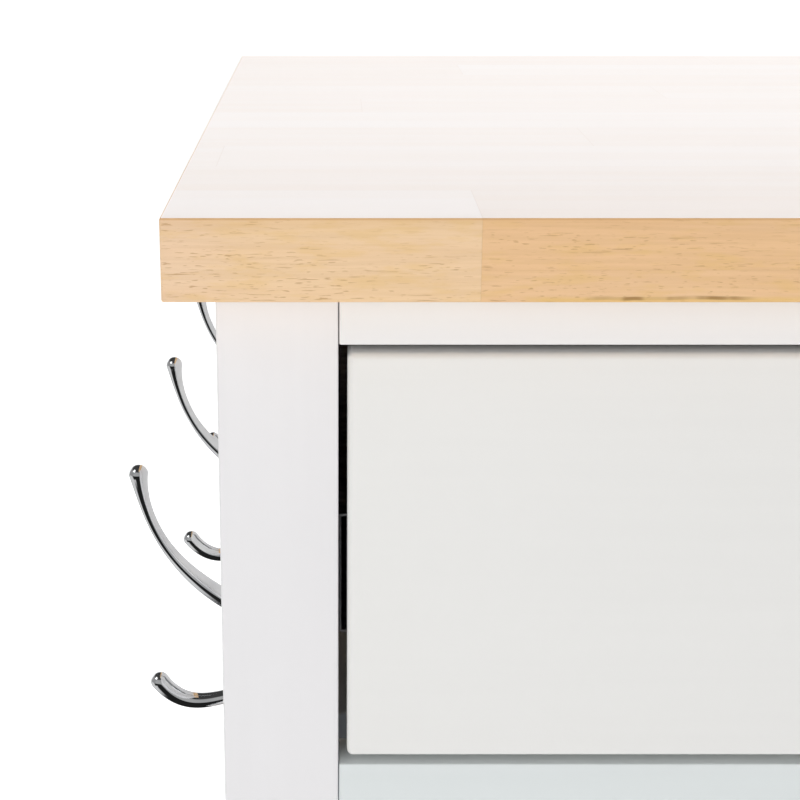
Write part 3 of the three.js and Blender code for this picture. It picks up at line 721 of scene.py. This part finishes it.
    # Painted sheen: upward faces are mixed towards near-white for the glare of light off the top, a little
    # less on darker staves and in the bands.
    painted_sheen = calculate(tree, "MULTIPLY_ADD", tone, PAINTED_SHEEN_LESS_BY_STAVE, PAINTED_SHEEN_SHARE)
    in_band = spread(tree, bands, 0.35, 0.65)
    painted_sheen = calculate(tree, "MULTIPLY_ADD", in_band, PAINTED_SHEEN_LESS_BY_BAND, painted_sheen)
    painted_sheen = calculate(tree, "MULTIPLY", spread(tree, upward, 0.90, 0.99), painted_sheen)
    body = mix_colours(tree, painted_sheen, body, PAINTED_SHEEN_WHITE)

    wave = figure((60.0, 1.0, 1.0), 3.0)
    heart_height = calculate(tree, "MULTIPLY_ADD", wave, HEART_WAVE, HEART_HEIGHT)
    off_heart = calculate(tree, "ABSOLUTE", calculate(tree, "SUBTRACT", up, heart_height))
    heart_band = spread(tree, off_heart, 0.0003, 0.0008, 1.0, 0.0)
    heart_run = calculate(
        tree,
        "MULTIPLY",
        spread(tree, along, *HEART_STARTS),
        spread(tree, along, *HEART_ENDS, 1.0, 0.0),
    )
    heart_patches = spread(tree, figure((90.0, 1.0, 1.0), 2.0), 0.35, 0.55, 0.25, 1.0)
    near_front = spread(tree, back, 0.0, FRONT_FACE_DEPTH, 1.0, 0.0)
    on_front = calculate(tree, "MULTIPLY", is_front_row, near_front)
    heart = calculate(tree, "MULTIPLY", calculate(tree, "MULTIPLY", heart_band, heart_run), heart_patches)
    heart = calculate(tree, "MULTIPLY", heart, on_front)
    amber_run = calculate(
        tree,
        "MULTIPLY",
        spread(tree, along, *AMBER_STARTS),
        spread(tree, along, *AMBER_ENDS, 1.0, 0.0),
    )
    amber = calculate(tree, "MULTIPLY", spread(tree, up, *AMBER_HEIGHTS), amber_run)
    amber = calculate(tree, "MULTIPLY", calculate(tree, "MULTIPLY", amber, on_front), 0.6)
    body = mix_colours(tree, amber, body, AMBER)
    body = mix_colours(tree, calculate(tree, "MULTIPLY", heart, 0.8), body, HEART)

    row_edge = calculate(tree, "ABSOLUTE", calculate(tree, "SUBTRACT", row_share, 0.5))
    row_line = calculate(tree, "GREATER_THAN", row_edge, 0.5 - GLUE_LINE / STAVE_WIDTH)
    end_edge = calculate(tree, "ABSOLUTE", calculate(tree, "SUBTRACT", run_share, 0.5))
    end_line = calculate(tree, "GREATER_THAN", end_edge, 0.5 - GLUE_LINE / STAVE_LENGTH)
    off_strip = calculate(tree, "ABSOLUTE", calculate(tree, "ADD", up, STRIP_BELOW))
    strip_line = calculate(
        tree, "MULTIPLY", is_layered, calculate(tree, "LESS_THAN", off_strip, GLUE_LINE / 2)
    )
    inside_row = calculate(tree, "MULTIPLY", row_line, calculate(tree, "GREATER_THAN", back, 0.003))
    glue = calculate(tree, "MAXIMUM", calculate(tree, "MAXIMUM", inside_row, end_line), strip_line)
    body = mix_colours(tree, calculate(tree, "MULTIPLY", glue, 0.10), body, PORE)

    tree.links.new(body, shader.inputs["Base Color"])
    shader.inputs["Specular IOR Level"].default_value = OIL_SPECULAR
    gloss = calculate(tree, "MULTIPLY_ADD", fibres, 0.10, calculate(tree, "MULTIPLY", bands, 0.06))
    tree.links.new(calculate(tree, "ADD", gloss, OIL_GLOSS), shader.inputs["Roughness"])
    relief = calculate(tree, "SUBTRACT", calculate(tree, "MULTIPLY", fibres, 0.35), dash)
    relief = calculate(tree, "SUBTRACT", relief, calculate(tree, "MULTIPLY", glue, 0.6))
    raise_surface(tree, shader, relief, WOOD_RELIEF)
    return material


low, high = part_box("worktop")
oiled_staves = stave_wood("oiled_staves", (low.x, low.y, high.z))
worktop = keep_mesh("oiled_worktop", board_shape(low, high, WORKTOP_ARRIS), oiled_staves)
stands_for(worktop, "frame", "worktop_wood", "worktop")


# --------------------------------------------------------------- coat hooks
# Three identical hat-and-coat hooks, cast in zinc alloy, polished and chromed:
# a round-ended plate with a long prong above and a short one below, each with a
# swollen tip. Two countersunk screws hold each plate to the left side panel.

PLATE_THICKNESS = 0.003
PLATE_ARRIS = 0.0009
SCREW_FROM_END = 0.007
SCREW_HOLE_RADIUS = 0.0022
SCREW_HEAD_RADIUS = 0.0040
SCREW_HEAD_DEPTH = 0.0022
SCREW_CROSS = 0.0020
SCREW_PLAY = 0.0002
SCREW_SUNK = 0.0001
SINK_DEPTH = 0.0020
CUT_MARGIN = 0.001
PLATE_HALF_HEIGHT = 0.034
PRONGS = {
    "long": {
        "line": ((0.002, 0.013), (0.0234, 0.0236), (0.0432, 0.0401), (0.0462, 0.071)),
        "root": 0.0037,
        "waist": 0.0021,
        "tip": 0.00375,
        "waist_at": 0.7,
        "swell": 3.0,
    },
    "short": {
        "line": ((0.002, -0.0182), (0.0198, -0.0233), (0.0303, -0.0284), (0.0403, -0.0152)),
        "root": 0.0034,
        "waist": 0.0028,
        "tip": 0.0037,
        "waist_at": 0.28,
        "swell": 1.2,
    },
}
PRONG_RINGS = 72
TIP_RINGS = 10


def bezier_point(points, share):
    """The point at a share of a Bezier curve with four points."""
    rest = 1 - share
    weights = (rest**3, 3 * rest**2 * share, 3 * rest * share**2, share**3)
    return tuple(sum(w * p[axis] for w, p in zip(weights, points)) for axis in range(2))


def smooth_step(value, low, high):
    share = min(1.0, max(0.0, (value - low) / (high - low)))
    return share * share * (3 - 2 * share)


def prong_shape(prong, foot):
    """A prong that stands out from foot, the plate's middle on the panel, towards -X."""
    flat = [bezier_point(prong["line"], i / PRONG_RINGS) for i in range(PRONG_RINGS + 1)]
    points = [Vector((foot.x - out, foot.y, foot.z + up)) for out, up in flat]
    lengths = [0.0]
    for before, after in zip(points, points[1:]):
        lengths.append(lengths[-1] + (after - before).length)
    radii = []
    for length in lengths:
        share = length / lengths[-1]
        flare = 1 - smooth_step(share, 0.2 * prong["waist_at"], prong["waist_at"])
        swell = (max(0.0, share - prong["waist_at"]) / (1 - prong["waist_at"])) ** prong["swell"]
        radii.append(
            prong["waist"]
            + (prong["root"] - prong["waist"]) * flare
            + (prong["tip"] - prong["waist"]) * swell
        )
    towards = (points[-1] - points[-2]).normalized()
    for i in range(1, TIP_RINGS + 1):
        turn = math.pi / 2 * i / TIP_RINGS
        points.append(points[PRONG_RINGS] + towards * (prong["tip"] * math.sin(turn)))
        radii.append(prong["tip"] * math.cos(turn) if i < TIP_RINGS else 0.0)
    points.insert(0, points[0])
    radii.insert(0, 0.0)
    return tube_shape(points, radii, (0, 1, 0))


def plate_shape(foot, half_width, half_height):
    """The back plate, with round ends."""
    straight = half_height - half_width
    upper = rounded_corner((0.0, straight), half_width, 0, 180, 20)
    lower = rounded_corner((0.0, -straight), half_width, 180, 360, 20)
    outline = [(foot.x, foot.y + across, foot.z + up) for across, up in upper + lower]
    return prism_shape(outline, (-PLATE_THICKNESS, 0, 0), PLATE_ARRIS, 4)


def countersink_shape(place):
    """What a countersunk screw needs taken out of a plate."""
    mouth = SCREW_HEAD_RADIUS + SCREW_PLAY
    profile = [
        (0.0, -CUT_MARGIN),
        (SCREW_HOLE_RADIUS, -CUT_MARGIN),
        (SCREW_HOLE_RADIUS, PLATE_THICKNESS - SINK_DEPTH),
        (mouth, PLATE_THICKNESS),
        (mouth, PLATE_THICKNESS + CUT_MARGIN),
        (0.0, PLATE_THICKNESS + CUT_MARGIN),
    ]
    return turned_shape(profile, place, 32)


def countersunk_head(place, face):
    """A countersunk screw's head, with its axis on Z and its face up."""
    profile = [
        (0.0, face - SCREW_HEAD_DEPTH),
        (SCREW_HOLE_RADIUS - SCREW_PLAY, face - SCREW_HEAD_DEPTH),
        (SCREW_HEAD_RADIUS - 0.5 * SCREW_PLAY, face - SCREW_PLAY),
        (SCREW_HEAD_RADIUS - 1.5 * SCREW_PLAY, face),
        (0.0, face + SCREW_PLAY),
    ]
    return turned_shape(profile, place, 32)


outward_left = Matrix.Rotation(math.radians(-90), 4, "Y")
for name in ("front", "middle", "back"):
    node = f"coat_hook_{name}"
    low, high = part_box(node)
    half_width = (high.y - low.y) / 2
    plate_middle = low.z + PLATE_HALF_HEIGHT
    foot = Vector((high.x, (low.y + high.y) / 2, plate_middle))
    screw_places = [
        Matrix.Translation(foot + Vector((0, 0, hand * (PLATE_HALF_HEIGHT - SCREW_FROM_END)))) @ outward_left
        for hand in (-1, 1)
    ]
    hook = combine(
        f"chrome_hook_{name}",
        chrome,
        plate_shape(foot, half_width, PLATE_HALF_HEIGHT),
        prong_shape(PRONGS["long"], foot),
        prong_shape(PRONGS["short"], foot),
    )
    for place in screw_places:
        cutter = keep_mesh("countersink", countersink_shape(place), chrome)
        step = hook.modifiers.new("countersink", "BOOLEAN")
        step.operation = "DIFFERENCE"
        step.object = cutter
        bpy.context.view_layer.update()
        result = bpy.data.meshes.new_from_object(hook.evaluated_get(bpy.context.evaluated_depsgraph_get()))
        hook.modifiers.clear()
        hook.data = result
        bpy.data.objects.remove(cutter)
    hook.data.set_sharp_from_angle(angle=SHARP_ANGLE)
    stands_for(hook, "frame", "chrome", node)
    face = PLATE_THICKNESS - SCREW_SUNK
    for label, place in zip(("lower", "upper"), screw_places):
        recess = cross_recess(place, face, SCREW_CROSS, 20)
        head = countersunk_head(place, face)
        add_screw(f"hook_screw_{name}_{label}", chrome, "frame", head, recess)


# ------------------------------------------------------------------ shelves
# Each open shelf is a painted board that lies on four rails doweled between the
# posts. Its corners are notched round the posts.

SHELF_ARRIS = 0.0010
NOTCH_PLAY = 0.0005
SHELF_RAIL_PAINTS = {
    "front": lengthwise_paint,
    "back": lengthwise_paint,
    "left": crosswise_paint,
    "right": crosswise_paint,
}


def notched_outline(low, high, notch_x, notch_y):
    """A rectangle with a square notch at each corner, as points at the height of its lower face."""
    return [
        (low.x + notch_x, low.y, low.z),
        (high.x - notch_x, low.y, low.z),
        (high.x - notch_x, low.y + notch_y, low.z),
        (high.x, low.y + notch_y, low.z),
        (high.x, high.y - notch_y, low.z),
        (high.x - notch_x, high.y - notch_y, low.z),
        (high.x - notch_x, high.y, low.z),
        (low.x + notch_x, high.y, low.z),
        (low.x + notch_x, high.y - notch_y, low.z),
        (low.x, high.y - notch_y, low.z),
        (low.x, low.y + notch_y, low.z),
        (low.x + notch_x, low.y + notch_y, low.z),
    ]


post_low, post_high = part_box("post_front_left")
for shelf in ("bottom_shelf", "middle_shelf"):
    for position, paint in SHELF_RAIL_PAINTS.items():
        painted_board(f"painted_{shelf}_{position}_rail", f"{shelf}_rail_{position}", RAIL_ARRIS, paint)
    low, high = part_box(f"{shelf}_board")
    notch_x = post_high.x + NOTCH_PLAY - low.x
    notch_y = post_high.y + NOTCH_PLAY - low.y
    outline = notched_outline(low, high, notch_x, notch_y)
    shape = prism_shape(outline, (0, 0, high.z - low.z), SHELF_ARRIS, 3)
    board = keep_mesh(f"painted_{shelf}", shape, lengthwise_paint)
    stands_for(board, "frame", "white_paint", f"{shelf}_board")


# ------------------------------------------------------------------ casters
# Each caster has a zinc-plated stem and pressed fork, a grey nylon hub on a
# riveted axle, and a dark rubber tyre. The two at the front have a black nylon
# brake lever.

WHEEL_RADIUS = 0.025
TYRE_THICKNESS = 0.006
TYRE_ROUNDING = 0.004
WHEEL_WIDTH = 0.020
STEEL_ARRIS = 0.0004
WELD_DISTANCE = 0.00001
EDGE_ANGLE = math.radians(30)
RUBBER_DARK = (0.018, 0.018, 0.019)
RUBBER_DUSTY = (0.060, 0.058, 0.055)
HUB_GREY = (0.235, 0.245, 0.255)
LEVER_BLACK = (0.012, 0.012, 0.013)


def rubber(name):
    """Dark rubber, dusty where it has rolled."""
    material, tree, shader = new_finish(name)
    dust = stretched_noise(tree, (120.0, 120.0, 120.0), detail=5.0, roughness=0.7)
    grain = stretched_noise(tree, (1800.0, 1800.0, 1800.0), detail=1.0)
    colour = mix_colours(tree, spread(tree, dust, 0.45, 0.75), RUBBER_DARK, RUBBER_DUSTY)
    tree.links.new(colour, shader.inputs["Base Color"])
    tree.links.new(spread(tree, dust, 0.3, 0.7, 0.55, 0.85), shader.inputs["Roughness"])
    raise_surface(tree, shader, grain, 0.00006)
    return material


def moulded_nylon(name, colour):
    """Nylon from a spark-textured mould."""
    material, tree, shader = new_finish(name)
    texture = stretched_noise(tree, (1600.0, 1600.0, 1600.0), detail=2.0)
    flow = stretched_noise(tree, (60.0, 60.0, 60.0), detail=3.0)
    lighter = tuple(channel * 1.25 for channel in colour)
    shade = mix_colours(tree, spread(tree, flow, 0.35, 0.65), colour, lighter)
    tree.links.new(shade, shader.inputs["Base Color"])
    tree.links.new(spread(tree, texture, 0.3, 0.7, 0.42, 0.60), shader.inputs["Roughness"])
    raise_surface(tree, shader, texture, 0.00005)
    return material


wheel_rubber = rubber("tyre_rubber")
hub_nylon = moulded_nylon("hub_nylon", HUB_GREY)
lever_nylon = moulded_nylon("lever_nylon", LEVER_BLACK)


def smooth_node(node, material):
    """A CAD node that keeps its shape gets its finish and a rounded edge."""
    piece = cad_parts[node]
    piece.data.materials.clear()
    piece.data.materials.append(material)
    weld = piece.modifiers.new("weld", "WELD")
    weld.merge_threshold = WELD_DISTANCE
    soften = piece.modifiers.new("soften", "BEVEL")
    soften.width = STEEL_ARRIS
    soften.segments = 2
    soften.limit_method = "ANGLE"
    soften.angle_limit = EDGE_ANGLE


def tyre_profile():
    """The tyre's section as a closed ring of (radius, height) points, with round shoulders."""
    half = WHEEL_WIDTH / 2
    inner = WHEEL_RADIUS - TYRE_THICKNESS
    flat = half - TYRE_ROUNDING
    shoulder = WHEEL_RADIUS - TYRE_ROUNDING
    return [
        (inner, -half),
        *rounded_corner((shoulder, -flat), TYRE_ROUNDING, -90, 0, 8),
        *rounded_corner((shoulder, flat), TYRE_ROUNDING, 0, 90, 8),
        (inner, half),
        (inner, -half),
    ]


across_x = Matrix.Rotation(math.radians(90), 4, "Y")
for end in ("front", "back"):
    for side in ("left", "right"):
        caster = f"caster_{end}_{side}"
        low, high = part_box(f"{caster}_tyre")
        place = Matrix.Translation((low + high) / 2) @ across_x
        tyre = keep_mesh(f"rubber_{caster}_tyre", turned_shape(tyre_profile(), place, 72), wheel_rubber)
        stands_for(tyre, f"{caster}_wheel_body", "rubber", f"{caster}_tyre")
        for part in ("stem", "fork", "axle"):
            smooth_node(f"{caster}_{part}", zinc)
        smooth_node(f"{caster}_hub", hub_nylon)
        if end == "front":
            smooth_node(f"{caster}_brake", lever_nylon)


# ------------------------------------------------ floor, light and camera
# A pale floor that brightens away from the cart, a pale backdrop far behind it, large soft
# lights and a long lens. The room gives the chrome something to mirror: pale walls, a dark
# ceiling, and a dark floor with two light reflectors.

FLOOR_SIZE = 60.0
FLOOR_WHITE = (0.70, 0.70, 0.70)
FLOOR_ROUGHNESS = 0.6
FLOOR_GLOW = 0.84
GLOW_STARTS = 0.45
GLOW_FULL = 1.20
BACKDROP_RADIUS = 28.0
BACKDROP_HEIGHT = 40.0
BACKDROP_WHITE = (0.97, 0.97, 0.97)

OVERHEAD_DARK = 0.05
FRONT_WALL = 0.40
LEFT_WALL = 0.30
RIGHT_WALL = 0.60
BACK_WALL_LOW = 1.15
BACK_WALL_HIGH = 0.20
PIT_DARK = 0.015
PIT_RIGHT = 0.38
PIT_LIGHT = 0.66

# Where one part of the room fades into the next, as shares of a direction's length.
LEFT_TO_RIGHT = (-0.30, 0.30)
FRONT_FADE = (-0.70, -0.45)
BACK_FADE = (0.40, 0.60)
BACK_WALL_TOP = (0.36, 0.48)
OVERHEAD_FADE = (0.50, 0.62)
HORIZON_FADE = (-0.30, -0.22)
PIT_RIGHT_FADE = (0.22, 0.34)
LEFT_REFLECTOR_EDGE = (-0.38, -0.50)
LEFT_REFLECTOR_TOP = (-0.60, -0.68)
LEFT_REFLECTOR_FOOT = (-0.90, -0.84)
BACK_REFLECTOR_EDGE = (-0.42, -0.26)
BACK_REFLECTOR_FOOT = (-0.84, -0.74)

SOFT_LIGHTS = (
    ("light_ceiling", (0.0, 0.8, 3.3), (0.0, 0.3, 0.0), 3.0, 3.0, 74.0),
    ("light_front", (-0.60, -1.35, 1.00), (-0.25, -0.24, 0.80), 0.9, 0.5, 3.85),
    ("light_right", (2.3, -2.2, 1.6), (0.0, 0.0, 0.6), 1.4, 1.4, 12.0),
)

CAMERA_FROM_CORNER = Vector((0.0556, -0.5546, 0.1043))
CAMERA_PITCH = 16.41
LENS = 81.1
SENSOR = 36.0
SHIFT_RIGHT = 0.0786
NEAR_LIMIT = 0.01

floor_material, floor_tree, floor_shader = new_finish("pale_floor")
floor_mottle = stretched_noise(floor_tree, (0.8, 0.8, 0.8), detail=2.0)
floor_colour = mix_colours(floor_tree, floor_mottle, FLOOR_WHITE, tuple(c * 0.99 for c in FLOOR_WHITE))
floor_tree.links.new(floor_colour, floor_shader.inputs["Base Color"])
floor_shader.inputs["Roughness"].default_value = FLOOR_ROUGHNESS
floor_place = add_node(floor_tree, "ShaderNodeTexCoord").outputs["Object"]
from_middle = add_node(floor_tree, "ShaderNodeVectorMath", {0: floor_place}, operation="LENGTH")
glow = spread(floor_tree, from_middle.outputs["Value"], GLOW_STARTS, GLOW_FULL, 0.0, FLOOR_GLOW)
floor_tree.links.new(glow, floor_shader.inputs["Emission Strength"])
floor_shader.inputs["Emission Color"].default_value = (1.0, 1.0, 1.0, 1.0)
floor_shape = bmesh.new()
bmesh.ops.create_grid(floor_shape, x_segments=8, y_segments=8, size=FLOOR_SIZE / 2)
floor = keep_mesh("floor", floor_shape, floor_material)
floor.visible_glossy = False

backdrop_material, backdrop_tree, backdrop_shader = new_finish("pale_backdrop")
backdrop_mottle = stretched_noise(backdrop_tree, (0.1, 0.1, 0.1), detail=2.0)
backdrop_colour = mix_colours(
    backdrop_tree, backdrop_mottle, BACKDROP_WHITE, tuple(c * 0.99 for c in BACKDROP_WHITE)
)
backdrop_tree.links.new(backdrop_colour, backdrop_shader.inputs["Emission Color"])
backdrop_shader.inputs["Emission Strength"].default_value = 1.0
backdrop_shape = bmesh.new()
bmesh.ops.create_cone(
    backdrop_shape,
    segments=96,
    radius1=BACKDROP_RADIUS,
    radius2=BACKDROP_RADIUS,
    depth=BACKDROP_HEIGHT,
    matrix=Matrix.Translation((0.0, 0.0, BACKDROP_HEIGHT / 2)),
)
bmesh.ops.reverse_faces(backdrop_shape, faces=backdrop_shape.faces)
backdrop = keep_mesh("backdrop", backdrop_shape, backdrop_material)
backdrop.visible_glossy = False
backdrop.visible_diffuse = False
backdrop.visible_transmission = False
backdrop.visible_shadow = False


world = bpy.data.worlds.new("bright_room")
bpy.context.scene.world = world
world.use_nodes = True
room = world.node_tree
direction = add_node(room, "ShaderNodeTexCoord").outputs["Generated"]
to_right, to_back, to_top = add_node(room, "ShaderNodeSeparateXYZ", {0: direction}).outputs
side_wall = spread(room, to_right, *LEFT_TO_RIGHT, LEFT_WALL, RIGHT_WALL)
front_share = spread(room, to_back, *FRONT_FADE, 1.0, 0.0)
walls = blend_values(room, front_share, side_wall, FRONT_WALL)
back_wall = spread(room, to_top, *BACK_WALL_TOP, BACK_WALL_LOW, BACK_WALL_HIGH)
walls = blend_values(room, spread(room, to_back, *BACK_FADE), walls, back_wall)
above = blend_values(room, spread(room, to_top, *OVERHEAD_FADE), walls, OVERHEAD_DARK)

pit = blend_values(room, spread(room, to_right, *PIT_RIGHT_FADE), PIT_DARK, PIT_RIGHT)
left_edge = spread(room, to_right, *LEFT_REFLECTOR_EDGE)
left_top = spread(room, to_top, *LEFT_REFLECTOR_TOP)
left_foot = spread(room, to_top, *LEFT_REFLECTOR_FOOT)
left_reflector = calculate(room, "MULTIPLY", calculate(room, "MULTIPLY", left_edge, left_top), left_foot)
back_edge = spread(room, to_back, *BACK_REFLECTOR_EDGE)
back_foot = spread(room, to_top, *BACK_REFLECTOR_FOOT)
back_reflector = calculate(room, "MULTIPLY", back_edge, back_foot)
reflectors = calculate(room, "MAXIMUM", left_reflector, back_reflector)
below = blend_values(room, reflectors, pit, PIT_LIGHT)
brightness = blend_values(room, spread(room, to_top, *HORIZON_FADE), below, above)
room.links.new(brightness, room.nodes["Background"].inputs["Strength"])
room.nodes["Background"].inputs["Color"].default_value = (1.0, 1.0, 1.0, 1.0)


def soft_light(name, place, aim, width, height, power):
    """A large rectangular light that faces a point."""
    data = bpy.data.lights.new(name, "AREA")
    data.shape = "RECTANGLE"
    data.size = width
    data.size_y = height
    data.energy = power
    light = bpy.data.objects.new(name, data)
    light.location = place
    light.rotation_euler = (Vector(aim) - Vector(place)).to_track_quat("-Z", "Y").to_euler()
    bpy.context.scene.collection.objects.link(light)
    return light


soft_light("light_highlight", (-1.50, -0.76, 1.83), (-0.4, -0.15, 0.75), 0.72, 0.72, 3.0)
for settings in SOFT_LIGHTS:
    soft_light(*settings).visible_glossy = False

low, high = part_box("worktop")
lens = bpy.data.cameras.new("camera")
lens.lens = LENS
lens.sensor_width = SENSOR
lens.shift_x = SHIFT_RIGHT
lens.clip_start = NEAR_LIMIT
camera = bpy.data.objects.new("camera", lens)
camera.location = Vector((low.x, low.y, high.z)) + CAMERA_FROM_CORNER
camera.rotation_euler = (math.radians(90 - CAMERA_PITCH), 0.0, 0.0)
bpy.context.scene.collection.objects.link(camera)
bpy.context.scene.camera = camera
bpy.context.scene.view_settings.view_transform = "Standard"
